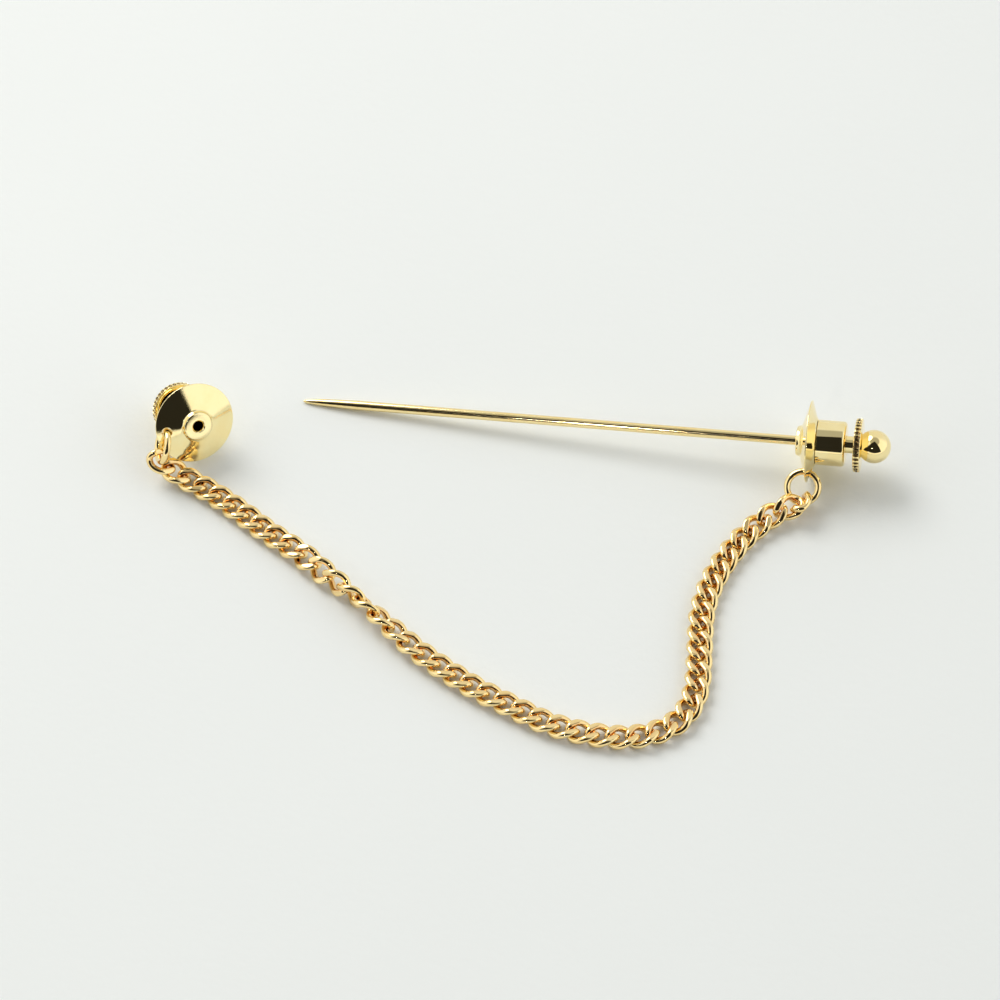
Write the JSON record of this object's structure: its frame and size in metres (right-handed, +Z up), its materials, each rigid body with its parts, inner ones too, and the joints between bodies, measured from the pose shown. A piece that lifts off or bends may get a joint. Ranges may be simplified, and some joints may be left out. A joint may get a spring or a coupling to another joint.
{
  "type": "lapel chain",
  "caption": "Gold lapel chain: a long stick pin locked in a round clutch, a matching open clutch for its point, and a twisted curb chain joining both on jump rings.",
  "frame": {"origin": "middle of the bottom of the bounding box, on the surface that the lapel chain lies on", "axes": "+Z up from the surface, +X along the line from the left clutch to the right clutch, the long way of the object"},
  "size_m": [0.0928, 0.0531, 0.0103],
  "materials": {
    "needle_gold": "polished gold plate",
    "base_gold": "polished gold plate, finely turned",
    "housing_gold": "polished gold plate",
    "knob_gold": "polished gold plate, milled flange",
    "wire_gold": "polished gold plate"
  },
  "bodies": {
    "pin_and_chain": {"needle": "needle_gold", "right_base": "base_gold", "right_housing": "housing_gold", "left_base": "base_gold", "left_housing": "housing_gold", "right_jump_ring": "wire_gold", "left_jump_ring": "wire_gold", "chain": "wire_gold"},
    "right_knob": {"right_knob": "knob_gold"},
    "left_knob": {"left_knob": "knob_gold"}
  },
  "joints": [
    {"name": "right_knob_pull", "type": "slide", "parent": "pin_and_chain", "child": "right_knob", "axis": [0.9849, -0.156, 0.0757], "range_m": [0, 0.0006], "stiffness_N_per_m": 400, "springref_m": -0.0015},
    {"name": "left_knob_pull", "type": "slide", "parent": "pin_and_chain", "child": "left_knob", "axis": [-0.4086, 0.7685, -0.4924], "range_m": [0, 0.0011], "stiffness_N_per_m": 400, "springref_m": -0.0015}
  ]
}
